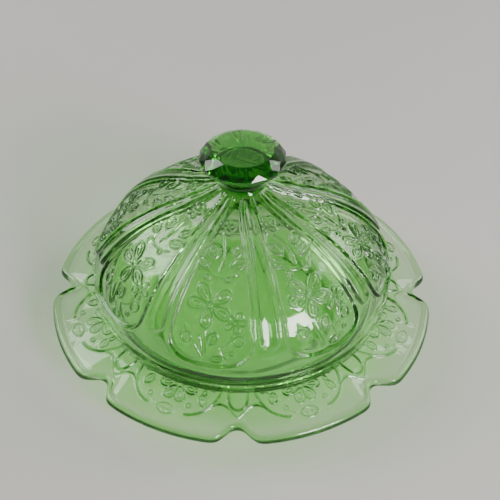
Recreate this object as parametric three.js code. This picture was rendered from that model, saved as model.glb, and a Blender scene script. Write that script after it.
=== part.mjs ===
// A covered dish in pressed green glass: a plate with a scalloped rim, and a domed lid with a cut knob.
// Millimetres, +Z up. The origin is the middle of the plate's foot, on the surface that it stands on.
import * as THREE from 'three';

// ---- driving dimensions ----

const LOBES = 8; // scallops round the plate, and panels round the lid
const NOTCH_AT = -Math.PI / 2; // one notch of the plate faces the front, -Y

const RIM_RADIUS = 92; // centre of the plate to the outermost point of a scallop
const RIM_HEIGHT = 15; // middle of the rim's rounded edge above the table
const RIM_THICKNESS = 3.6;
const NOTCH_DEPTH = 8.2;
const NOTCH_HALF_ANGLE = THREE.MathUtils.degToRad(6.8);
const SCALLOP_STARTS_AT = 72; // inside this radius the plate is round

const FOOT_RADIUS = 46; // outside of the foot ring
const FOOT_WIDTH = 4;
const FOOT_RECESS = 0.9; // hollow of the underside, inside the foot ring
const WELL_RADIUS = 46; // flat floor of the well
const FLOOR_TOP = 4.6;
const SEAT_HEIGHT = 18.5; // level shelf that the lid's foot stands on
const RIDGE_INNER = 59.5; // low ridge just inside the lid's foot, which keeps the lid in the middle
const RIDGE_OUTER = 62.6;
const RIDGE_RISE = 1.6;

const SEAT_GAP = 0.3; // between the lid's foot and the shelf
const LID_FOOT = SEAT_HEIGHT + SEAT_GAP;
const COLLAR_RADIUS = 69; // plain band round the bottom of the lid
const COLLAR_INNER = 64.4;
const COLLAR_HEIGHT = 7;
const DOME_CENTRE = LID_FOOT + 8.2; // height of the dome's widest circle
const DOME_RADIUS = 70.5;
const DOME_RISE = 48.5; // the dome is half an ellipse over that circle
const DOME_WALL = 4.2;

const NECK_RADIUS = 8.6;
const GIRDLE_RADIUS = 19.1; // widest circle of the knob, measured at its corners
const GIRDLE_HEIGHT = 94; // lower edge of the knob's widest band, above the table
const KNOB_SIDES = 16;

const FLUTE_TURN = THREE.MathUtils.degToRad(10.8); // the lid's flutes stand this far past the notches
const FLUTE_HALF_ANGLE = THREE.MathUtils.degToRad(5.2);
const FLUTE_RISE = 0.7;
const PANEL_INSET = 0.5; // how far the panels lie below the wall around them

const PLATE_SEGMENTS = 12 * LOBES;
const LID_SEGMENTS = 10 * LOBES;

// ---- shared shapes ----

const lobeAngle = (2 * Math.PI) / LOBES;

// Signed angle from the nearest of LOBES equal stations, the first of them at start.
function angleFromStation(angle, start) {
  const turns = (angle - start) / lobeAngle;
  return (turns - Math.round(turns)) * lobeAngle;
}

// Half a cosine wave: 1 at the middle, 0 from halfWidth outwards.
function bell(offset, halfWidth) {
  const t = Math.min(1, Math.abs(offset) / halfWidth);
  return 0.5 * (1 + Math.cos(Math.PI * t));
}

// A point of a profile: distance from the axis, and height.
function at(radius, height) {
  return new THREE.Vector2(radius, height);
}

// Points of an ellipse from angle a to angle b, in the half plane of a profile.
function ellipseArc(centreHeight, radiusX, radiusY, a, b, steps) {
  const points = [];
  for (let i = 0; i <= steps; i += 1) {
    const t = a + ((b - a) * i) / steps;
    points.push(at(radiusX * Math.cos(t), centreHeight + radiusY * Math.sin(t)));
  }
  return points;
}

// A lathe about +Z. The profile runs from the axis to the axis, with the glass on its left.
function turned(profile, segments) {
  const geometry = new THREE.LatheGeometry(profile, segments);
  geometry.rotateX(Math.PI / 2);
  return geometry;
}

// Moves every vertex of a turned body: move(radius, angle, height) gives its new radius, angle and height.
function reshape(geometry, move) {
  const position = geometry.getAttribute('position');
  for (let i = 0; i < position.count; i += 1) {
    const x = position.getX(i);
    const y = position.getY(i);
    const radius = Math.hypot(x, y);
    if (radius > 1e-6) {
      const [newRadius, newAngle, newHeight] = move(radius, Math.atan2(y, x), position.getZ(i));
      position.setXYZ(i, newRadius * Math.cos(newAngle), newRadius * Math.sin(newAngle), newHeight);
    }
  }
  geometry.computeVertexNormals();
  return geometry;
}

// ---- plate ----

function plateProfile() {
  const edge = RIM_THICKNESS / 2;
  return [
    at(0, FOOT_RECESS),
    at(FOOT_RADIUS - FOOT_WIDTH - 1, FOOT_RECESS),
    at(FOOT_RADIUS - FOOT_WIDTH, 0),
    at(FOOT_RADIUS, 0),
    at(FOOT_RADIUS + 2.2, 0.8),
    at(62.5, SEAT_HEIGHT - 5.2),
    at(66.5, SEAT_HEIGHT - 4),
    at(78, RIM_HEIGHT - edge + 0.4),
    at(RIM_RADIUS - edge, RIM_HEIGHT - edge),
    at(RIM_RADIUS - edge * 0.3, RIM_HEIGHT - edge * 0.7),
    at(RIM_RADIUS, RIM_HEIGHT),
    at(RIM_RADIUS - edge * 0.3, RIM_HEIGHT + edge * 0.7),
    at(RIM_RADIUS - edge, RIM_HEIGHT + edge),
    at(80, SEAT_HEIGHT - 0.6),
    at(COLLAR_RADIUS + 2, SEAT_HEIGHT),
    at(RIDGE_OUTER + 0.5, SEAT_HEIGHT),
    at(RIDGE_OUTER - 0.4, SEAT_HEIGHT + RIDGE_RISE),
    at(RIDGE_INNER, SEAT_HEIGHT + RIDGE_RISE),
    at(RIDGE_INNER - 1.4, SEAT_HEIGHT),
    at(WELL_RADIUS + 2.5, FLOOR_TOP + 1),
    at(WELL_RADIUS, FLOOR_TOP),
    at(0, FLOOR_TOP),
  ];
}

// The rim is round except for a rounded V notch between each two scallops. Most of a lobe's segments are
// drawn in towards its notch, where the outline turns.
function plateGeometry() {
  const gather = 0.55;
  return reshape(turned(plateProfile(), PLATE_SEGMENTS), (radius, angle, height) => {
    const offset = angleFromStation(angle, NOTCH_AT);
    const share = offset / (lobeAngle / 2);
    const drawn = share * (1 - gather * (1 - share * share));
    const newAngle = angle - offset + drawn * (lobeAngle / 2);
    const reach = Math.max(0, (radius - SCALLOP_STARTS_AT) / (RIM_RADIUS - SCALLOP_STARTS_AT));
    const cut = NOTCH_DEPTH * bell(drawn * (lobeAngle / 2), NOTCH_HALF_ANGLE) * reach;
    return [radius - cut, newAngle, height];
  });
}

// ---- lid ----

function lidProfile() {
  const collarTop = LID_FOOT + COLLAR_HEIGHT;
  const domeTop = DOME_CENTRE + DOME_RISE;
  const inside = ellipseArc(
    DOME_CENTRE, DOME_RADIUS - DOME_WALL, DOME_RISE - DOME_WALL, Math.PI / 2, 0, 9,
  );
  const outside = ellipseArc(DOME_CENTRE, DOME_RADIUS, DOME_RISE, 0, Math.PI / 2 - 0.2, 11);
  return [
    ...inside.map((p) => (p.x < 1e-6 ? at(0, p.y) : p)),
    at(COLLAR_INNER, LID_FOOT + 0.8),
    at(COLLAR_INNER + 0.8, LID_FOOT),
    at(COLLAR_RADIUS - 1.2, LID_FOOT),
    at(COLLAR_RADIUS - 0.3, LID_FOOT + 0.8),
    at(COLLAR_RADIUS, collarTop - 0.6),
    ...outside,
    at(NECK_RADIUS + 0.9, domeTop + 2.6),
    at(NECK_RADIUS, domeTop + 5.5),
    at(NECK_RADIUS + 0.7, domeTop + 9),
    at(NECK_RADIUS + 2.8, GIRDLE_HEIGHT - 5.6),
    at(GIRDLE_RADIUS - 1.6, GIRDLE_HEIGHT - 1.8),
    at(GIRDLE_RADIUS, GIRDLE_HEIGHT - 0.4),
    at(GIRDLE_RADIUS, GIRDLE_HEIGHT + 1.2),
    at(GIRDLE_RADIUS - 5.4, GIRDLE_HEIGHT + 5),
    at(0, GIRDLE_HEIGHT + 6.2),
  ];
}

// How much a regular polygon of that many sides lies inside the circle through its corners.
function polygonFactor(angle, sides) {
  const half = Math.PI / sides;
  const along = angle / (2 * half);
  return Math.cos(half) / Math.cos((along - Math.round(along)) * 2 * half);
}

// A flute runs down the wall between each two panels. The panels lie a little lower than the wall.
function lidGeometry() {
  const wallFrom = DOME_CENTRE + 6;
  const wallTo = DOME_CENTRE + DOME_RISE - 3;
  const knobFrom = DOME_CENTRE + DOME_RISE + 12;
  const firstFlute = NOTCH_AT + FLUTE_TURN;
  return reshape(turned(lidProfile(), LID_SEGMENTS), (radius, angle, height) => {
    const outer = (radius / DOME_RADIUS) ** 2 + ((height - DOME_CENTRE) / DOME_RISE) ** 2;
    if (height > knobFrom && radius > NECK_RADIUS + 3) {
      return [radius * polygonFactor(angle, KNOB_SIDES), angle, height];
    }
    if (height < wallFrom || height > wallTo || outer < 0.98) {
      return [radius, angle, height];
    }
    const offset = angleFromStation(angle, firstFlute);
    const rise = (FLUTE_RISE + PANEL_INSET) * bell(offset, FLUTE_HALF_ANGLE * 1.5) - PANEL_INSET;
    const factor = 1 + rise / DOME_RADIUS;
    return [radius * factor, angle, DOME_CENTRE + (height - DOME_CENTRE) * factor];
  });
}

// ---- the object ----

function glass() {
  return new THREE.MeshStandardMaterial({
    color: 0x8fd69a,
    roughness: 0.05,
    metalness: 0,
    transparent: true,
    opacity: 0.6,
  });
}

const group = new THREE.Group();

const plate = new THREE.Mesh(plateGeometry(), glass());
plate.name = 'base_plate';
group.add(plate);

const lid = new THREE.Mesh(lidGeometry(), glass());
lid.name = 'dome_lid';
group.add(lid);

export default group;
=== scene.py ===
import math

import bpy
import numpy as np
from mathutils import Matrix, Vector


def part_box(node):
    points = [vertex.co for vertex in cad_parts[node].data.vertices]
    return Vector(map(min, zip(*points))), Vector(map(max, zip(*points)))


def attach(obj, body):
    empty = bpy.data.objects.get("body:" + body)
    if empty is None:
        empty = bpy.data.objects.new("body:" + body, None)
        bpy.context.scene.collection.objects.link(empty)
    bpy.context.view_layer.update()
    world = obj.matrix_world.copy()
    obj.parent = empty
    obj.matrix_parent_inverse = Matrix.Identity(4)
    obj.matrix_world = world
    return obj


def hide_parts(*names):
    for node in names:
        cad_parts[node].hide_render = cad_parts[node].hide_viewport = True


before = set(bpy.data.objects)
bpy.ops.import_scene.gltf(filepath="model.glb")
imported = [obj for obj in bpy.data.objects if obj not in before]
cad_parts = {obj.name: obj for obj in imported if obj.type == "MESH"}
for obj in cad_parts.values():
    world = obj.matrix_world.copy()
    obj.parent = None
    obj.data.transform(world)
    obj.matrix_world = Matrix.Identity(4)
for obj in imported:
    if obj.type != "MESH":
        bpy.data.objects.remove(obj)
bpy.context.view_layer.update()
PLATE_LOW, PLATE_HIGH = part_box("base_plate")
LID_LOW, LID_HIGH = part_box("dome_lid")

bl_info = {
    "name": "Covered glass dish",
    "version": (1, 0, 0),
    "blender": (4, 5, 0),
    "location": "View3D > Sidebar > Glass dish",
    "description": "A pressed green glass plate and its domed lid, with their relief, knob and studio",
    "category": "Object",
}

# The drawing is in millimetres and degrees. MM turns millimetres to metres, and follows the size of
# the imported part. The lid and the plate have the same eight lobes, so one lobe is drawn and repeated.
DRAWN_HEIGHT = 100.2
MM = LID_HIGH.z / DRAWN_HEIGHT
CENTRE = Vector(((PLATE_LOW.x + PLATE_HIGH.x) / 2, (PLATE_LOW.y + PLATE_HIGH.y) / 2, 0.0))
SEAT_GAP = 0.3  # between the shelf of the plate and the lid's foot
SEAT = LID_LOW.z / MM - SEAT_GAP  # height of that shelf
LOBES = 8
LOBE = 360.0 / LOBES
FRONT = -90.0  # one notch of the plate is here

# Points on the rings, from the most to the fewest, and the step between two of the densest rings.
DENSE = 192 * LOBES
FINE_RING, MEDIUM_RING, COARSE_RING, SPARSE_RING, LEAST_RING = (DENSE // n for n in (2, 4, 8, 16, 32))
ROW_STEP = 0.31
PLATE_TRIANGLES = 170000
LID_TRIANGLES = 196000

# The plate: radius and height of its rings, from the middle of the underside round to the well.
UNDERSIDE = ((14, 0.9), (28, 0.9), (40.4, 0.9), (41.4, 0.6), (42.1, 0.08), (42.7, 0.0), (45.3, 0.0),
             (46.3, 0.12), (47.4, 0.6), (50, 2.4), (56, 7.9), (61, 12.2), (63.6, 13.6), (67, 14.3),
             (72, 14.3))
UNDER_FLANGE = (74.0, 14.2)
RIM_BEAD = ((77, 13.7), (82, 12.9), (85.8, 12.2), (88.0, 11.8), (90.1, 12.1), (91.15, 13.2),
            (91.2, 14.4), (90.6, 15.7), (89.4, 16.4), (88.2, 16.3), (87.4, 15.6), (86.7, 15.05))
# Painted shade on the rim: how strongly the bead's outer edge takes the darker line colour, in place of the
# deep green of light that runs a long way in the glass.
RIM_BEAD_SHADE = 0.42
BEAD_SHADE_STARTS, BEAD_SHADE_FULL = 88.4, 90.4  # radii where the bead's painted shade starts and where it is full
FLANGE_OUTER, FLANGE_INNER = 86.4, 63.4
FLANGE_FALL = ((63.0, 0.0), (70.5, 0.0), (73.0, -0.4), (80.0, -1.95), (86.4, -3.4))
RELIEF_STARTS, RELIEF_FULL = 63.4, 64.6  # radii
SHOULDER_RISE = 0.75
# Radius, height and number of points of each ring: the ridge, above the shelf, and the well.
RIDGE = ((63.2, 0.0, FINE_RING), (63.0, 0.2, MEDIUM_RING), (62.7, 0.7, COARSE_RING),
         (62.3, 1.4, COARSE_RING), (61.6, 1.6, COARSE_RING), (60.4, 1.6, COARSE_RING),
         (59.6, 1.35, COARSE_RING), (58.6, 0.3, COARSE_RING), (57.2, -1.1, COARSE_RING))
WELL = ((53.0, 9.9, COARSE_RING), (50.0, 6.9, COARSE_RING), (48.6, 5.7, COARSE_RING),
        (47.2, 4.95, COARSE_RING), (45.6, 4.65, COARSE_RING), (42, 4.6, COARSE_RING),
        (28, 4.6, SPARSE_RING), (14, 4.6, LEAST_RING))
RECESS_HEIGHT, FLOOR_HEIGHT = 0.9, 4.6
NOTCH_DEPTH = 7.4
NOTCH_SPREAD = 4.2
NOTCH_POWER = 2.6
NOTCH_STARTS, NOTCH_FULL = 71.0, 87.0  # radii

# The lid: an ellipse turned about the axis, on a collar, with a neck and a knob.
DOME_RADIUS = 70.5
DOME_RISE = 48.5
DOME_CENTRE = SEAT + 8.5
DOME_WALL = 4.2
CROWN_DROP, CROWN_REACH = 0.75, 22  # the glass under the neck is thicker by this, out to this radius
CROWN_RINGS = 27  # on the inside, with the pole
ELLIPSE_END = 27.0  # radius where the outside leaves the ellipse
COLLAR_INSIDE = ((65.9, 5.6), (65.1, 3.0), (64.6, 1.0), (64.7, 0.35), (65.3, 0.0), (66.6, 0.0))
COLLAR_OUTSIDE = ((67.2, 0.0), (67.7, 0.05), (68.4, 0.35), (68.8, 0.9), (68.95, 1.8), (69.0, 5.4),
                  (69.1, 6.1), (69.5, 6.6), (70.1, 7.0))
WIDEST = (-0.1, -0.9)  # the ring under the widest circle, from its radius and its height
# Radius and height above the ellipse: the hollow curve up to the neck, and the neck itself.
FILLET = ((22.6, -1.55), (18.6, -0.25), (15.2, 1.35), (12.5, 3.1), (10.6, 4.9), (9.5, 6.7))
NECK = ((9.1, 7.9), (9.1, 9.3), (9.8, 11.0), (11.6, 12.7))
NECK_SQUARED = (9.0, 12.7)  # the neck's rings turn from circles to the knob's polygon between these
KNOB_SIDES = 16
# Radius, height above the girdle, and slant of each ring of the knob.
KNOB = ((18.7, -0.9, 0.0), (19.1, -0.3, 0.0), (19.1, 1.1, 0.0), (17.3, 3.3, 0.5), (13.6, 5.3, 1.0))
KNOB_GIRDLE = DRAWN_HEIGHT - 6.2
FACETS_ABOVE = DRAWN_HEIGHT - 12.3
FACET_BEND = 5.0  # degrees

# The lid's relief, by the length along its wall from the widest circle.
PLAIN_STEP, PLAIN_UNTIL = 0.8, 7.9
DRAWN_FROM, FINEST_UNTIL = 8.0, 60.0  # the rings have most points between these
RELIEF_IN = (5.0, 9.0)
RELIEF_OUT = (6.0, 1.0)  # before the wall's end
PANEL_SIDE = ((0, 9.5), (5, 9.7), (9.5, 10.6), (12.8, 12.7), (15.0, 15.6), (16.0, 19.5), (16.0, 30.0),
              (16.0, 45.0), (15.4, 54.0), (14.3, 61.0), (12.8, 68.5), (11.0, 77.0), (10.0, 84.0),
              (9.6, 92.0))  # angle from the panel's middle, and length
SIDE_POINTS = 5  # of the curve, on each span of PANEL_SIDE
# The border's last value is painted shade: how much of the darker line colour its ridge takes.
BORDER_RISE, BORDER_HALF_WIDTH, BORDER_SHADE = 1.3, 1.15, 0.3
PANEL_INSET, INSET_STARTS, INSET_FULL = 0.22, 0.3, 1.4  # depth, and distances from the border
FLUTE_FOOT, FLUTE_EDGE_FULL = 17.4, 22.0
FLUTE_LENGTHS = (0, 17, 45, 60, 77, 94)
FLUTE_HALF_WIDTHS = (4.5, 4.4, 3.3, 2.6, 1.9, 1.35)
FLUTE_RISE, FLUTE_HOLLOW, HOLLOW_SHARE = 1.75, 0.95, 0.72
# Where across the flute (0 in its middle, 1 at its edge), how wide and how strong the band of painted shade
# along its edges is, in place of the thick glass seen edge-on.
FLUTE_EDGE, FLUTE_EDGE_HALF_WIDTH, FLUTE_EDGE_SHADE = 0.86, 0.2, 0.9

# The drawn lines: half of a ridge's width, and its rise.
LINE = (0.64, 0.68)
FINE = (0.52, 0.5)
VEIN = (0.85 * FINE[0], 0.8 * FINE[1])
BRACKET_LINE = (1.05, 1.15)
TONGUE_LINE = (0.95, 1.0)
OGEE_LINE = (0.8, 0.7)

# The flange's large curves: angle from the middle of a lobe, or from a notch, and radius.
BRACKET = ((17.3, 64.2), (16.6, 67.5), (15.2, 72.0), (13.0, 76.4), (10.4, 79.4), (7.8, 81.0), (6.2, 81.4))
OGEE = ((9.6, 76.4), (7.0, 74.4), (5.0, 74.2), (3.0, 75.6), (1.4, 77.4), (0.0, 79.0))
TONGUE = ((3.3, 64.0), (3.3, 70.0), (2.7, 73.6), (1.5, 75.6), (0.0, 76.2))
SHOULDER_EDGE = 1.1

# How much of its painted shade and its roughness a raised line has evenly, and how much more with the
# grain.
EVEN_SHADE, GRAINY_SHADE = 0.7, 0.4
EVEN_ROUGHNESS = 0.6
FLOOR_ROUGHNESS, FLOOR_GRAIN = 0.62, 0.12

# The studio, in metres. A light has its name, place, size and colour.
SOFT_LIGHTS = (
    ("key_light", (0.62, -0.72, 0.46), 0.36, (1.0, 0.98, 0.95)),
    ("fill_light", (0.85, 0.35, 0.60), 0.6, (1.0, 1.0, 1.0)),
    ("top_light", (-0.85, 0.30, 0.75), 0.7, (1.0, 1.0, 1.0)),
)
CAMERA_PLACE = (0.00507, -0.31571, 0.32960)
CAMERA_TURNS = ((0.233, "Z"), (47.515, "X"), (0.92, "Z"))  # degrees of pan, tilt and roll
CAMERA_SENSOR, CAMERA_LENS = 36.0, 65.36  # millimetres
LIGHT_BOUNCES = 24  # enough for a view through the many surfaces of the lid and the plate
SWEEP_REACH, SWEEP_HEIGHT = 3.0, 2.2
SWEEP_BEND_AT, SWEEP_BEND = 0.62, 0.10


# ---- curves and distances ----


def spline(points, per_span):
    """A smooth curve through points: Catmull and Rom's cubic, with so many points on each span."""
    p = np.asarray(points, float)
    p = np.vstack([2 * p[0] - p[1], p, 2 * p[-1] - p[-2]])
    t = (np.arange(per_span) / per_span)[None, :, None]
    a, b, c, d = p[:-3, None], p[1:-2, None], p[2:-1, None], p[3:, None]
    square, cube = 2 * a - 5 * b + 4 * c - d, 3 * b - a - 3 * c + d
    body = 0.5 * (2 * b + (c - a) * t + square * t**2 + cube * t**3)
    return np.vstack([body.reshape(-1, p.shape[1]), p[-2]])


def smoothstep(low, high, value):
    """0 below low, 1 above high, and t * t * (3 - 2 t) between them."""
    t = np.clip((value - low) / (high - low), 0, 1)
    return t * t * (3 - 2 * t)


def bell(offset, half_width):
    """Half a cosine wave: 1 at the middle, 0 from half_width outwards."""
    return 0.5 * (1 + np.cos(math.pi * np.clip(np.abs(offset) / half_width, 0, 1)))


def distance_to(x, y, path):
    """The distance of each point from a polyline: the least distance to any of its segments."""
    best = np.full(x.shape, 1e9)
    for (ax, ay), (bx, by) in zip(path[:-1], path[1:]):
        ux, uy = bx - ax, by - ay
        along = np.clip(((x - ax) * ux + (y - ay) * uy) / max(ux * ux + uy * uy, 1e-12), 0, 1)
        best = np.minimum(best, (x - ax - along * ux) ** 2 + (y - ay - along * uy) ** 2)
    return np.sqrt(best)


def relief_of(x, y, strokes):
    """The height of a drawing of raised lines.

    It is the highest of its strokes. A stroke is a path, half of its ridge's width, and its rise.
    """
    height = np.zeros(x.shape)
    for path, half_width, rise in strokes:
        path = np.asarray(path, float)
        low, high = path.min(0) - half_width, path.max(0) + half_width
        near = (x > low[0]) & (x < high[0]) & (y > low[1]) & (y < high[1])
        if near.any():
            ridge = rise * bell(distance_to(x[near], y[near], path), half_width)
            height[near] = np.maximum(height[near], ridge)
    return height


# ---- the drawing of flowers and leaves ----


def circle(cx, cy, radius, count=18):
    """Points of a circle."""
    t = np.radians(np.linspace(0.0, 360.0, count + 1))
    return np.stack([cx + radius * np.cos(t), cy + radius * np.sin(t)], 1)


def placed(along, across, cx, cy, angle):
    """Turns a shape that lies along +x by angle, and moves it to (cx, cy)."""
    c, s = math.cos(math.radians(angle)), math.sin(math.radians(angle))
    return np.stack([cx + along * c - across * s, cy + along * s + across * c], 1)


def petal(cx, cy, angle, start, length, width):
    """A drop's outline: a cosine wave along it, and across it a sine that swells towards the tip."""
    t = np.linspace(0, 2 * math.pi, 27)
    reach = 0.5 * (1 - np.cos(t))
    across = 0.5 * width * np.sin(t) * (0.62 + 0.5 * reach)
    return placed(start + length * reach, across, cx, cy, angle)


def blossom(cx, cy, reach, width, turns, eye):
    """A flower: a ring, a drop for each petal, and a smaller drop inside each one that is wide."""
    strokes = [(circle(cx, cy, eye), *LINE)]
    for turn in turns:
        length = reach - eye
        strokes.append((petal(cx, cy, turn, eye, length, width), *LINE))
        if width > 3.6:
            inner = petal(cx, cy, turn, eye + 0.3 * length, 0.5 * length, 0.42 * width)
            strokes.append((inner, *FINE))
    return strokes


def leaf(cx, cy, angle, length, width, veins=2):
    """A leaf about its middle: two arcs that meet in points, a midrib, and slanting veins."""
    u = np.linspace(-1, 1, 11)
    half = 0.5 * width * (1 - u * u) ** 0.8
    outline = np.vstack([placed(0.5 * length * u, half, cx, cy, angle),
                         placed(0.5 * length * u[::-1], -half[::-1], cx, cy, angle)])
    ends = np.array([-0.5, 0.42]) * length
    strokes = [(outline, *LINE), (placed(ends, 0 * ends, cx, cy, angle), *FINE)]
    for k in range(veins):
        root = (-0.22 + 0.32 * k) * length
        for side in (-1, 1):
            along = np.array([root, root + 0.14 * length])
            across = np.array([0, side * 0.26 * width])
            strokes.append((placed(along, across, cx, cy, angle), *VEIN))
    return strokes


def panel_strokes():
    """What is drawn in a panel of the lid: x to the right of its middle, y along the wall."""
    strokes = blossom(-1.9, 35.8, 9.9, 5.4, (184, 125, 40, -28, -97), 1.5)
    strokes += blossom(-2.4, 71.2, 4.0, 2.4, (90, 162, 234, 306, 18), 0.9)
    strokes += blossom(9.6, 29.4, 4.6, 2.8, (70, 142, 214, 286, 358), 1.0)
    strokes += leaf(6.6, 54.6, 22, 6.8, 4.4) + leaf(5.2, 60.6, 70, 5.8, 4.0, 1)
    strokes += leaf(-4.9, 59.4, 112, 6.6, 4.6) + leaf(-8.6, 53.0, 160, 6.0, 4.2)
    strokes += leaf(0.9, 22.0, 78, 6.0, 4.0) + leaf(3.4, 12.9, 12, 5.4, 2.8, 0)
    rings = ((11.8, 21.6, 2.3), (-10.6, 20.6, 2.3), (9.6, 16.4, 0.9), (-5.6, 47.2, 1.1),
             (3.4, 47.4, 1.1))
    strokes += [(circle(*ring), *LINE) for ring in rings]
    for x, y in ((-7.4, 19.6), (-5.0, 22.4), (-2.6, 25.2)):
        strokes.append(([(x, y), (0.35 * x - 0.6, 0.35 * y + 6.4)], *FINE))
    stems = (
        [(-6.2, 50.6), (-3.4, 48.4), (0.6, 47.8), (4.6, 48.6), (7.2, 50.4)],
        [(3.8, 18.4), (4.6, 16.2), (6.2, 14.4), (8.2, 13.4)],
        [(-0.8, 50.6), (0.2, 55.0), (-0.6, 61.0), (-2.0, 66.4)],
        [(11.8, 23.9), (12.4, 26.4)],
        [(-10.8, 22.9), (-12.0, 25.2)],
        [(9.4, 24.6), (8.2, 21.0), (5.2, 18.6)],
    )
    return strokes + [(spline(stem, 4), *FINE) for stem in stems]


def lobe_strokes():
    """What is drawn on a lobe of the flange: x to the right, y away from the middle of the plate."""
    def at(angle, radius):
        return radius * math.sin(math.radians(angle)), radius * math.cos(math.radians(angle))

    def through(points, line, middle=0.0, side=1):
        return (spline([at(middle + side * a, r) for a, r in points], 5), *line)

    strokes = []
    for side in (-1, 1):
        strokes.append(through(BRACKET, BRACKET_LINE, 0.0, side))
        for mirror in (-1, 1):
            strokes.append(through(TONGUE, TONGUE_LINE, side * LOBE / 2, mirror))
            strokes.append(through(OGEE, OGEE_LINE, side * LOBE / 2, mirror))
    strokes += leaf(*at(-0.2, 81.2), 2, 8.2, 4.8)
    strokes += blossom(*at(0.6, 68.3), 8.6, 5.0, (66, 114, 8, 172), 1.4)
    strokes += leaf(*at(-10.4, 71.6), 112, 5.6, 3.6, 1) + leaf(*at(10.6, 73.6), 62, 5.6, 3.2, 1)
    strokes.append((petal(*at(10.4, 68.0), 76, 0.0, 3.0, 2.0), *LINE))
    rings = ((-13.6, 67.0, 1.1), (13.4, 66.8, 1.1), (6.6, 77.2, 1.0), (-7.0, 77.4, 1.0))
    strokes += [(circle(*at(angle, radius), size), *LINE) for angle, radius, size in rings]
    strokes.append(through([(-11.6, 69.0), (-12.6, 67.0), (-13.4, 65.4)], FINE))
    strokes.append(through([(-4.6, 80.2), (-6.0, 78.6), (-7.0, 78.4)], FINE))
    return strokes


# ---- shells: rings of points from one pole to the other ----


class Shell:
    """A closed surface about the axis. A ring is a row of points at equal steps of angle."""

    def __init__(self, phase):
        self.phase = phase
        self.points, self.marks, self.faces = [], [], []
        self.total, self.last = 0, None

    def _add(self, points, mark):
        start, count = self.total, len(points)
        self.points.append(points)
        self.marks.append(np.broadcast_to(np.asarray(mark, float), (count,)))
        self.total += count
        return start, count

    def _keep(self, *corners):
        self.faces += np.stack(corners, 1).tolist()

    def pole(self, height):
        """One point on the axis. The ring before it, if there is one, is joined to it by a fan."""
        here = self._add(np.array([[0.0, 0.0, height]]), 0.0)
        if self.last is not None:
            start, count = self.last
            j = np.arange(count)
            self._keep(start + j, start + (j + 1) % count, np.full(count, here[0]))
        self.last = here

    def ring(self, radius, height, count, mark=0.0, slant=0.0):
        """Adds a ring and joins it to the last one.

        radius, height and mark are numbers, or one value for each point. slant turns the ring by so
        many of its steps. Two rings of one size are joined by four-sided faces, or by triangles if
        the new one slants. The knob's first ring is joined by one face for each of its sides, and
        other rings have twice or half as many points as the last one.
        """
        angle = np.radians(self.phase) + (np.arange(count) + slant) * 2 * math.pi / count
        radius = np.broadcast_to(np.asarray(radius, float), (count,))
        height = np.broadcast_to(np.asarray(height, float), (count,))
        points = np.stack([radius * np.cos(angle), radius * np.sin(angle), height], 1)
        (a, n), (b, m) = self.last, self._add(points, mark)
        self.last = b, m
        j = np.arange(min(n, m)) if n > 1 else np.arange(m)
        k = (j + 1) % len(j)
        if n == 1:
            self._keep(np.full(m, a), b + k, b + j)
        elif n == m and slant:
            self._keep(a + j, a + k, b + j)
            self._keep(a + k, b + k, b + j)
        elif n == m:
            self._keep(a + j, a + k, b + k, b + j)
        elif m == KNOB_SIDES:
            step = n // m
            self._keep(*[a + (j * step + i) % n for i in range(step + 1)], b + k, b + j)
        else:
            fine, wide, turn = (a, b, 1) if n > m else (b, a, -1)
            f0, f1, f2 = fine + 2 * j, fine + 2 * j + 1, fine + 2 * k
            for corners in ((f0, f1, wide + j), (f1, wide + k, wide + j), (f1, f2, wide + k)):
                self._keep(*corners[::turn])

    def mesh(self, name):
        """The mesh, with its faces outwards: if its volume is negative, all of them are turned."""
        points = np.vstack(self.points) * MM + np.array(CENTRE)
        fans = [[f[0], f[i], f[i + 1]] for f in self.faces for i in range(1, len(f) - 1)]
        p = points[np.array(fans)]
        volume = np.einsum("ij,ij->i", p[:, 0], np.cross(p[:, 1], p[:, 2])).sum() / 6
        faces = self.faces if volume > 0 else [f[::-1] for f in self.faces]
        mesh = bpy.data.meshes.new(name)
        mesh.from_pydata(points.tolist(), [], faces)
        mesh.polygons.foreach_set("use_smooth", [True] * len(faces))
        # The marks go to the shader, which makes the marked glass duller and gives it painted shade.
        mark = mesh.attributes.new("raised", "FLOAT", "POINT")
        mark.data.foreach_set("value", np.concatenate(self.marks).astype(np.float32))
        mesh.update()
        return mesh


def tile_angles(count):
    """Degrees from the middle of a lobe, for each of the points of one lobe's share of a ring."""
    share = count // LOBES
    return (np.arange(share) / share - 0.5) * LOBE


def round_the_axis(values):
    """Repeats one lobe's row of values for every lobe."""
    return np.tile(values, LOBES)


# ---- the plate ----


def rim_row(radius, count):
    """One lobe's radii on a ring: radius - depth * exp(-(angle from a notch / spread) ** power).

    The notches fade away from the rim inwards.
    """
    from_notch = LOBE / 2 - np.abs(tile_angles(count))
    reach = smoothstep(NOTCH_STARTS, NOTCH_FULL, radius)
    return radius - NOTCH_DEPTH * np.exp(-(from_notch / NOTCH_SPREAD) ** NOTCH_POWER) * reach


def shoulder(angle, radius):
    """Thicker glass at a notch: 1 inside both its brackets and its ogee, 0 outside either."""
    side, reach = np.array(BRACKET).T
    past_bracket = (np.abs(angle)[None] - np.interp(radius, reach, side)) * radius * math.pi / 180
    crest, top = np.array(OGEE[::-1]).T
    under_ogee = np.interp(LOBE / 2 - np.abs(angle), crest, top)[None] - radius
    return smoothstep(0.0, SHOULDER_EDGE, past_bracket) * smoothstep(0.0, SHOULDER_EDGE, under_ogee)


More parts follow.
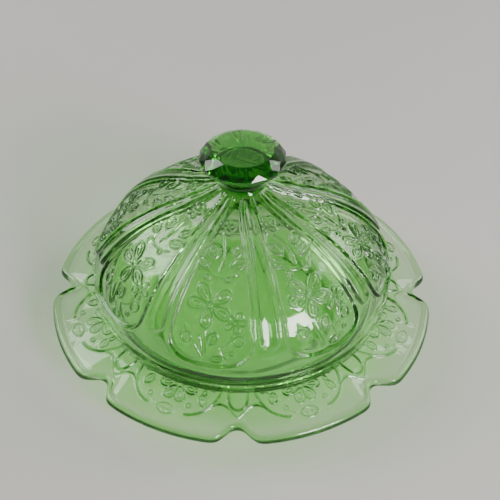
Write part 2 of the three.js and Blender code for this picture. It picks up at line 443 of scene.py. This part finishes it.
def plate_shell():
    """The plate's section, carried round the axis. The flange is raised where its drawing has a line."""
    shell = Shell(FRONT)
    shell.pole(RECESS_HEIGHT)
    for radius, height in UNDERSIDE:
        shell.ring(radius, height, COARSE_RING)
    radius, height = UNDER_FLANGE
    shell.ring(round_the_axis(rim_row(radius, MEDIUM_RING)), height, MEDIUM_RING)
    for radius, height in spline(RIM_BEAD, 3):
        # The bead's outer edge is marked for painted shade: a deeper green in place of light that runs a
        # long way in the glass.
        shell.ring(round_the_axis(rim_row(radius, FINE_RING)), height, FINE_RING,
                   mark=RIM_BEAD_SHADE * smoothstep(BEAD_SHADE_STARTS, BEAD_SHADE_FULL, radius))
    rows = np.arange(FLANGE_OUTER, FLANGE_INNER, -ROW_STEP)
    psi = tile_angles(DENSE)
    radius = np.stack([rim_row(r, DENSE) for r in rows])
    x = radius * np.sin(np.radians(psi))[None]
    y = radius * np.cos(np.radians(psi))[None]
    height = SEAT + np.interp(rows, *np.array(FLANGE_FALL).T)
    full = smoothstep(RELIEF_STARTS, RELIEF_FULL, radius)
    raised = relief_of(x, y, lobe_strokes()) * full
    height = height[:, None] + (raised + SHOULDER_RISE * shoulder(psi, radius) * full)
    # The marks make the flange's lines duller and give them painted shade.
    mark = np.clip(raised / LINE[1], 0, 1)
    for i in range(len(rows)):
        shell.ring(round_the_axis(radius[i]), round_the_axis(height[i]), DENSE,
                   mark=round_the_axis(mark[i]))
    for radius, up, count in RIDGE:
        shell.ring(radius, SEAT + up, count)
    for radius, height, count in WELL:
        shell.ring(radius, height, count)
    shell.pole(FLOOR_HEIGHT)
    return shell


# ---- the lid ----


def wall_curve():
    """The outside of the wall from the widest circle to the neck, and the length to each point.

    It is part of an ellipse, and then a hollow curve.
    """
    t = np.linspace(0, math.acos(ELLIPSE_END / DOME_RADIUS), 600)
    ellipse = np.stack([DOME_RADIUS * np.cos(t), DOME_CENTRE + DOME_RISE * np.sin(t)], 1)
    top = DOME_CENTRE + DOME_RISE
    # The first span repeats the end of the ellipse. It gives the fillet its direction, and is cut off.
    span = 40
    fillet = spline([ellipse[-span], ellipse[-1]] + [(r, top + up) for r, up in FILLET], span)
    curve = np.vstack([ellipse[:-1], fillet[span:]])
    move = np.diff(curve, axis=0)
    return curve, np.concatenate([[0], np.cumsum(np.hypot(move[:, 0], move[:, 1]))])


def along_wall(curve, length, steps):
    """The radius, the height and the outward normal at each step of the wall's length."""
    tangent = np.gradient(curve, length, axis=0)
    radius, height = (np.interp(steps, length, curve[:, k]) for k in (0, 1))
    normal = np.stack([np.interp(steps, length, v) for v in (tangent[:, 1], -tangent[:, 0])], 1)
    return radius, height, normal / np.linalg.norm(normal, axis=1, keepdims=True)


def wall_relief(angle, length, radius):
    """How far one lobe of the wall is raised, and how much each point is marked as a line.

    A border runs round the panel, which lies a little lower than the wall. Beside it is a flute, whose
    height is FLUTE_RISE * sqrt(1 - t ** 3) - FLUTE_HOLLOW * (1 - (t / HOLLOW_SHARE) ** 2), with t from
    0 in its middle to 1 at its edge, and with neither term below 0.
    """
    x = np.radians(angle)[None] * radius[:, None]
    y = np.broadcast_to(length[:, None], x.shape)
    side = spline(PANEL_SIDE, SIDE_POINTS)
    border = np.stack([np.radians(side[:, 0]) * np.interp(side[:, 1], length, radius), side[:, 1]], 1)
    gap = distance_to(np.abs(x), y, border)
    foot = side[:8 * SIDE_POINTS]
    inside = np.abs(angle)[None] < np.interp(length, side[1:, 1], side[1:, 0])[:, None]
    inside &= y > np.interp(np.abs(angle), foot[:, 0], foot[:, 1])[None]
    rise = np.where(inside, -PANEL_INSET * smoothstep(INSET_STARTS, INSET_FULL, gap), 0.0)
    rise = rise + BORDER_RISE * bell(gap, BORDER_HALF_WIDTH)

    off = (LOBE / 2 - np.abs(angle))[None] * math.pi / 180 * radius[:, None]
    half = np.interp(length, FLUTE_LENGTHS, FLUTE_HALF_WIDTHS)[:, None]
    below = np.clip(FLUTE_FOOT + half - y, 0, None)
    t = np.hypot(off, below) / half
    hollow = np.clip(1 - (t / HOLLOW_SHARE) ** 2, 0, 1)
    flute = FLUTE_RISE * np.sqrt(np.clip(1 - t**3, 0, 1)) - FLUTE_HOLLOW * hollow
    rise = np.maximum(rise, np.where(t < 1, flute, -9))

    drawing = relief_of(x, y, panel_strokes())
    rise = np.where(inside, rise + drawing, rise)
    # Painted shade: a band along the flute's edges is marked so that it takes the darker line colour, in
    # place of the thick glass seen edge-on.
    edge = FLUTE_EDGE_SHADE * bell(t - FLUTE_EDGE, FLUTE_EDGE_HALF_WIDTH)
    edge = edge * smoothstep(FLUTE_FOOT, FLUTE_EDGE_FULL, y)
    # The drawn lines are marked fully, and the border's ridge partly, for painted shade and dullness.
    line = np.maximum(np.maximum(drawing * inside / LINE[1], edge),
                      BORDER_SHADE * bell(gap, BORDER_HALF_WIDTH))
    return rise, np.clip(line, 0, 1)


def polygon(radius, angle, sides):
    """The radius of a polygon with that many sides, whose corners lie on the circle of that radius."""
    half = math.pi / sides
    part = np.radians(angle) / (2 * half)
    return radius * math.cos(half) / np.cos((part - np.floor(part) - 0.5) * 2 * half)


def lid_shell(flute_turn):
    """The lid's section, carried round the axis.

    It runs from the inside of the crown down to the foot, and up the wall and the neck to the knob.
    """
    shell = Shell(FRONT + flute_turn)
    foot, top = SEAT + SEAT_GAP, DOME_CENTRE + DOME_RISE
    shell.pole(top - DOME_WALL - CROWN_DROP)
    for i, t in enumerate(np.linspace(math.pi / 2, 0, CROWN_RINGS)[1:]):
        radius = (DOME_RADIUS - DOME_WALL) * math.cos(t)
        drop = CROWN_DROP * (1 - smoothstep(0, CROWN_REACH, radius))
        height = DOME_CENTRE + (DOME_RISE - DOME_WALL) * math.sin(t) - drop
        shell.ring(radius, height, LEAST_RING if i < 3 else SPARSE_RING if i < 6 else COARSE_RING)
    for radius, up in COLLAR_INSIDE:
        shell.ring(radius, foot + up, COARSE_RING)
    for radius, up in COLLAR_OUTSIDE:
        shell.ring(radius, foot + up, MEDIUM_RING)
    shell.ring(DOME_RADIUS + WIDEST[0], DOME_CENTRE + WIDEST[1], FINE_RING)

    curve, length = wall_curve()
    whole = length[-1]
    steps = np.concatenate([np.arange(0, PLAIN_UNTIL, PLAIN_STEP), np.arange(DRAWN_FROM, whole, ROW_STEP)])
    radius, height, normal = along_wall(curve, length, steps)
    rise, mark = wall_relief(tile_angles(DENSE), steps, radius)
    ending = smoothstep(whole - RELIEF_OUT[0], whole - RELIEF_OUT[1], steps)
    fade = smoothstep(*RELIEF_IN, steps) * (1 - ending)
    rise, mark = rise * fade[:, None], mark * fade[:, None]
    for i, s in enumerate(steps):
        thin = 2 if s < DRAWN_FROM or s >= FINEST_UNTIL else 1
        lift = rise[i][::thin]
        shell.ring(round_the_axis(radius[i] + normal[i, 0] * lift),
                   round_the_axis(height[i] + normal[i, 1] * lift),
                   DENSE // thin, mark=round_the_axis(mark[i][::thin]))

    neck = spline([(radius[-1], height[-1])] + [(r, top + up) for r, up in NECK], 4)[1:]
    for i, (r, z) in enumerate(neck):
        count = MEDIUM_RING if i < 2 else COARSE_RING if i < 4 else SPARSE_RING if i < 7 else LEAST_RING
        squared = smoothstep(top + NECK_SQUARED[0], top + NECK_SQUARED[1], z)
        corners = polygon(r, np.arange(count) * 360.0 / count, KNOB_SIDES)
        shell.ring((1 - squared) * r + squared * corners, z, count)
    for radius, up, slant in KNOB:
        shell.ring(radius, KNOB_GIRDLE + up, KNOB_SIDES, slant=slant)
    shell.pole(DRAWN_HEIGHT)
    return shell


# ---- shader maths ----


class Wire:
    """A socket in an expression. Each operator adds a Math node."""

    def __init__(self, shader, socket):
        self.shader, self.socket = shader, socket

    def _math(self, operation, first, second):
        made = self.shader.node("ShaderNodeMath", {"operation": operation}, {0: first, 1: second})
        return Wire(self.shader, made.outputs[0])

    def __add__(self, other):
        return self._math("ADD", self, other)

    def __radd__(self, other):
        return self._math("ADD", other, self)

    def __mul__(self, other):
        return self._math("MULTIPLY", self, other)

    def __rmul__(self, other):
        return self._math("MULTIPLY", other, self)


class Shader:
    """A material's node tree."""

    def __init__(self, name):
        self.material = bpy.data.materials.new(name)
        self.material.use_nodes = True
        self.tree = self.material.node_tree
        self.tree.nodes.clear()

    def node(self, kind, settings=None, sockets=None):
        """Adds a node: its settings first, then the value or the link of each socket that is given."""
        made = self.tree.nodes.new(kind)
        for key, value in (settings or {}).items():
            setattr(made, key, value)
        for key, value in (sockets or {}).items():
            if isinstance(value, Wire):
                value = value.socket
            if isinstance(value, bpy.types.NodeSocket):
                self.tree.links.new(value, made.inputs[key])
            else:
                made.inputs[key].default_value = value
        return made

    def wire(self, kind, settings=None, sockets=None, out=0):
        """The same, for use in an expression."""
        return Wire(self, self.node(kind, settings, sockets).outputs[out])

    def show(self, surface, volume=None):
        """Joins the shaders to the material's output."""
        sockets = {"Surface": surface}
        if volume is not None:
            sockets["Volume"] = volume
        self.node("ShaderNodeOutputMaterial", None, sockets)
        return self.material


def opaque(colour):
    """A colour with its alpha."""
    return tuple(colour) + (1.0,)


def glass_material(name, settings):
    """Fire-polished green glass.

    It is clear, tinted by its depth, a little rippled, and duller along its raised lines, which are also
    given painted shade: a darker green.
    """
    shader = Shader(name)
    place = shader.wire("ShaderNodeTexCoord", out="Object")
    ripple = shader.wire("ShaderNodeTexNoise", None,
                         {"Vector": place, "Scale": 55.0, "Detail": 1.0}, out="Fac")
    grain = shader.wire("ShaderNodeTexNoise", None,
                        {"Vector": place, "Scale": 900.0, "Detail": 3.0}, out="Fac")
    line = shader.wire("ShaderNodeAttribute", {"attribute_name": "raised"}, out="Fac")
    even = line * (settings.line_roughness * EVEN_ROUGHNESS)
    rough = settings.gloss_roughness + even + line * grain * settings.line_roughness
    # Painted shade: the raised lines are mixed towards the darker line colour, in place of the shade that
    # bending light shows along them.
    # A Mix node's inputs 6 and 7 are its two colours, and its output 2 is their mix.
    tint = shader.node("ShaderNodeMix", {"data_type": "RGBA"}, {
        "Factor": line * (EVEN_SHADE + GRAINY_SHADE * grain),
        6: opaque(settings.surface_tint),
        7: opaque(settings.line_shade),
    })
    bump = shader.node("ShaderNodeBump", None, {"Height": ripple, "Strength": 0.25, "Distance": 0.0008})
    body = shader.node("ShaderNodeBsdfPrincipled", {"distribution": "MULTI_GGX"}, {
        "Base Color": tint.outputs[2],
        "Roughness": rough,
        "IOR": 1.51,
        "Transmission Weight": 1.0,
        "Normal": bump.outputs[0],
    })
    # Lamp light passes straight through, since light that bends would have to find the lamp by chance.
    clear = shader.node("ShaderNodeBsdfTransparent", None, {"Color": opaque(settings.shadow_tint)})
    lamp = shader.wire("ShaderNodeLightPath", out="Is Shadow Ray")
    mixed = shader.node("ShaderNodeMixShader", None, {0: lamp, 1: body.outputs[0], 2: clear.outputs[0]})
    depth = shader.node("ShaderNodeVolumeAbsorption", None, {
        "Color": opaque(settings.depth_colour),
        "Density": settings.depth_density,
    })
    return shader.show(mixed.outputs[0], depth.outputs[0])


def floor_material(name, colour):
    """Plain matt paint, with a faint grain in its roughness."""
    shader = Shader(name)
    place = shader.wire("ShaderNodeTexCoord", out="Object")
    grain = shader.wire("ShaderNodeTexNoise", None,
                        {"Vector": place, "Scale": 60.0, "Detail": 4.0}, out="Fac")
    paint = shader.node("ShaderNodeBsdfPrincipled", None, {
        "Base Color": opaque(colour),
        "Roughness": FLOOR_ROUGHNESS + grain * FLOOR_GRAIN,
    })
    return shader.show(paint.outputs[0])


# ---- the add-on ----


class GlassDishSettings(bpy.types.PropertyGroup):
    """Colours of the glass and of the painted shade on its lines, and how the lid is turned."""

    flute_turn: bpy.props.FloatProperty(
        name="Lid turned by",
        description="How far the lid's flutes stand past the plate's notches, in degrees",
        default=11.7, min=-22.5, max=22.5)
    surface_tint: bpy.props.FloatVectorProperty(
        name="Surface tint", description="Colour that each surface lets through",
        subtype="COLOR", size=3, min=0, max=1, default=(0.98, 1.0, 0.97))
    # Painted shade: a darker green given to the raised lines, in place of the shade that bending light
    # shows along them.
    line_shade: bpy.props.FloatVectorProperty(
        name="Line tint", description="Colour that the raised lines let through",
        subtype="COLOR", size=3, min=0, max=1, default=(0.12, 0.44, 0.08))
    depth_colour: bpy.props.FloatVectorProperty(
        name="Depth colour", description="Colour that the glass takes on as it gets thick",
        subtype="COLOR", size=3, min=0, max=1, default=(0.27, 0.71, 0.08))
    depth_density: bpy.props.FloatProperty(
        name="Depth density", description="How fast the glass takes on its depth colour, per metre",
        default=112.0, min=0.0, max=500.0)
    shadow_tint: bpy.props.FloatVectorProperty(
        name="Shadow tint", description="Colour of lamp light behind the glass",
        subtype="COLOR", size=3, min=0, max=1, default=(0.80, 0.92, 0.76))
    gloss_roughness: bpy.props.FloatProperty(
        name="Gloss roughness", description="Roughness of the smooth glass",
        default=0.015, min=0.0, max=1.0)
    line_roughness: bpy.props.FloatProperty(
        name="Line roughness", description="How much duller the raised lines are",
        default=0.20, min=0.0, max=1.0)


class GlassDishStudioSettings(bpy.types.PropertyGroup):
    """Colours and lights of the studio."""

    floor_colour: bpy.props.FloatVectorProperty(
        name="Floor colour", description="Colour of the plain floor",
        subtype="COLOR", size=3, min=0, max=1, default=(0.50, 0.485, 0.465))
    room_light: bpy.props.FloatProperty(
        name="Room light", description="Strength of the even light from all round",
        default=0.13, min=0.0, max=10.0)
    key_power: bpy.props.FloatProperty(
        name="Key light", description="Power of the soft light at the front right",
        subtype="POWER", unit="POWER", default=14.0, min=0.0)
    fill_power: bpy.props.FloatProperty(
        name="Fill light", description="Power of the soft light at the back right",
        subtype="POWER", unit="POWER", default=6.0, min=0.0)
    top_power: bpy.props.FloatProperty(
        name="Back light", description="Power of the soft light at the back left",
        subtype="POWER", unit="POWER", default=10.5, min=0.0)


def thinned(name, mesh, triangles):
    """The mesh with only so many triangles: Decimate keeps them where the surface bends most."""
    dense = bpy.data.objects.new(name + "_dense", mesh)
    bpy.context.scene.collection.objects.link(dense)
    mesh.calc_loop_triangles()
    fewer = dense.modifiers.new("fewer", "DECIMATE")
    fewer.ratio = min(1.0, triangles / len(mesh.loop_triangles))
    graph = bpy.context.evaluated_depsgraph_get()
    result = bpy.data.meshes.new_from_object(dense.evaluated_get(graph))
    bpy.data.objects.remove(dense)
    bpy.data.meshes.remove(mesh)
    result.name = name
    return result


def sharpened(mesh, above, bend):
    """Keeps facets crisp.

    An edge above a height is sharp if the normals of its two faces differ by more than bend degrees.
    """
    edge = np.zeros(len(mesh.loops), np.int32)
    mesh.loops.foreach_get("edge_index", edge)
    size = np.zeros(len(mesh.polygons), np.int32)
    mesh.polygons.foreach_get("loop_total", size)
    normal = np.zeros(3 * len(mesh.polygons), np.float32)
    mesh.polygons.foreach_get("normal", normal)
    middle = np.zeros(3 * len(mesh.polygons), np.float32)
    mesh.polygons.foreach_get("center", middle)
    face = np.repeat(np.arange(len(size)), size)[np.argsort(edge, kind="stable")].reshape(-1, 2)
    normal, high = normal.reshape(-1, 3), middle.reshape(-1, 3)[:, 2] > above
    cosine = np.einsum("ij,ij->i", normal[face[:, 0]], normal[face[:, 1]])
    sharp = (cosine < math.cos(math.radians(bend))) & high[face[:, 0]] & high[face[:, 1]]
    mesh.attributes.new("sharp_edge", "BOOLEAN", "EDGE").data.foreach_set("value", sharp)
    return mesh


def link(name, mesh, material):
    """A mesh as an object at the origin, with its material."""
    thing = bpy.data.objects.new(name, mesh)
    bpy.context.scene.collection.objects.link(thing)
    mesh.materials.append(material)
    return thing


class OBJECT_OT_glass_dish_plate(bpy.types.Operator):
    """Makes the scalloped plate"""

    bl_idname = "object.glass_dish_plate"
    bl_label = "Plate"

    def execute(self, context):
        settings = context.scene.glass_dish
        mesh = thinned("scalloped_plate", plate_shell().mesh("plate_dense"), PLATE_TRIANGLES)
        plate = link("scalloped_plate", mesh, glass_material("plate_glass_look", settings))
        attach(plate, "plate")
        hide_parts("base_plate")
        return {"FINISHED"}


class OBJECT_OT_glass_dish_lid(bpy.types.Operator):
    """Makes the domed lid with its knob"""

    bl_idname = "object.glass_dish_lid"
    bl_label = "Lid"

    def execute(self, context):
        settings = context.scene.glass_dish
        mesh = thinned("domed_lid", lid_shell(settings.flute_turn).mesh("lid_dense"), LID_TRIANGLES)
        sharpened(mesh, FACETS_ABOVE * MM, FACET_BEND)
        lid = link("domed_lid", mesh, glass_material("lid_glass_look", settings))
        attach(lid, "lid")
        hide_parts("dome_lid")
        return {"FINISHED"}


def soft_light(name, place, size, colour, power):
    """A square area light that faces the middle of the dish."""
    data = bpy.data.lights.new(name, "AREA")
    data.shape, data.size, data.energy, data.color = "SQUARE", size, power, colour
    lamp = bpy.data.objects.new(name, data)
    bpy.context.scene.collection.objects.link(lamp)
    aim = Vector((0, 0, SEAT * MM)) - Vector(place)
    lamp.location = place
    lamp.rotation_euler = aim.to_track_quat("-Z", "Y").to_euler()
    return lamp


def sweep_mesh():
    """A floor that curves up into a wall behind the dish: one section, drawn out in x."""
    bend = np.radians(np.linspace(0, 90, 25))
    curve = np.stack([SWEEP_BEND_AT + SWEEP_BEND * np.sin(bend), SWEEP_BEND * (1 - np.cos(bend))], 1)
    section = np.vstack([[[-SWEEP_REACH, 0.0]], curve, [[SWEEP_BEND_AT + SWEEP_BEND, SWEEP_HEIGHT]]])
    n = len(section)
    points = np.vstack([np.column_stack([np.full(n, x), section]) for x in (-SWEEP_REACH, SWEEP_REACH)])
    j = np.arange(n - 1)
    faces = np.stack([j, j + n, j + n + 1, j + 1], 1)
    mesh = bpy.data.meshes.new("studio_sweep")
    mesh.from_pydata(points.tolist(), [], faces.tolist())
    mesh.polygons.foreach_set("use_smooth", [True] * len(faces))
    mesh.update()
    return mesh


class OBJECT_OT_glass_dish_studio(bpy.types.Operator):
    """Makes the floor, the lights and the camera"""

    bl_idname = "object.glass_dish_studio"
    bl_label = "Studio"

    def execute(self, context):
        scene = context.scene
        settings = scene.glass_dish_studio
        floor = link("studio_sweep", sweep_mesh(), floor_material("pale_paint", settings.floor_colour))
        world = bpy.data.worlds.new("soft_room")
        world.use_nodes = True
        background = world.node_tree.nodes["Background"]
        background.inputs["Color"].default_value = (1.0, 1.0, 1.0, 1.0)
        background.inputs["Strength"].default_value = settings.room_light
        scene.world = world
        for light, power in zip(SOFT_LIGHTS, (settings.key_power, settings.fill_power, settings.top_power)):
            soft_light(*light, power)
        data = bpy.data.cameras.new("camera")
        data.sensor_width, data.lens = CAMERA_SENSOR, CAMERA_LENS
        camera = bpy.data.objects.new("camera", data)
        scene.collection.objects.link(camera)
        pan, tilt, roll = (Matrix.Rotation(math.radians(angle), 4, axis) for angle, axis in CAMERA_TURNS)
        camera.matrix_world = Matrix.Translation(CAMERA_PLACE) @ (pan @ tilt @ roll)
        scene.camera = camera
        for kind in ("max_bounces", "transmission_bounces", "glossy_bounces"):
            setattr(scene.cycles, kind, LIGHT_BOUNCES)
        return {"FINISHED"}


class VIEW3D_PT_glass_dish(bpy.types.Panel):
    """Lists the pieces and their settings"""

    bl_label = "Glass dish"
    bl_space_type = "VIEW_3D"
    bl_region_type = "UI"
    bl_category = "Glass dish"

    def draw(self, context):
        for group in (context.scene.glass_dish, context.scene.glass_dish_studio):
            for name in group.__annotations__:
                self.layout.prop(group, name)
        for operator in OPERATORS:
            self.layout.operator(operator.bl_idname)


OPERATORS = (OBJECT_OT_glass_dish_studio, OBJECT_OT_glass_dish_plate, OBJECT_OT_glass_dish_lid)
CLASSES = (GlassDishSettings, GlassDishStudioSettings) + OPERATORS + (VIEW3D_PT_glass_dish,)


def register():
    for kind in CLASSES:
        bpy.utils.register_class(kind)
    bpy.types.Scene.glass_dish = bpy.props.PointerProperty(type=GlassDishSettings)
    bpy.types.Scene.glass_dish_studio = bpy.props.PointerProperty(type=GlassDishStudioSettings)


def unregister():
    del bpy.types.Scene.glass_dish_studio
    del bpy.types.Scene.glass_dish
    for kind in reversed(CLASSES):
        bpy.utils.unregister_class(kind)


def main():
    register()
    bpy.ops.object.glass_dish_studio()
    bpy.ops.object.glass_dish_plate()
    bpy.ops.object.glass_dish_lid()


if __name__ == "__main__":
    main()
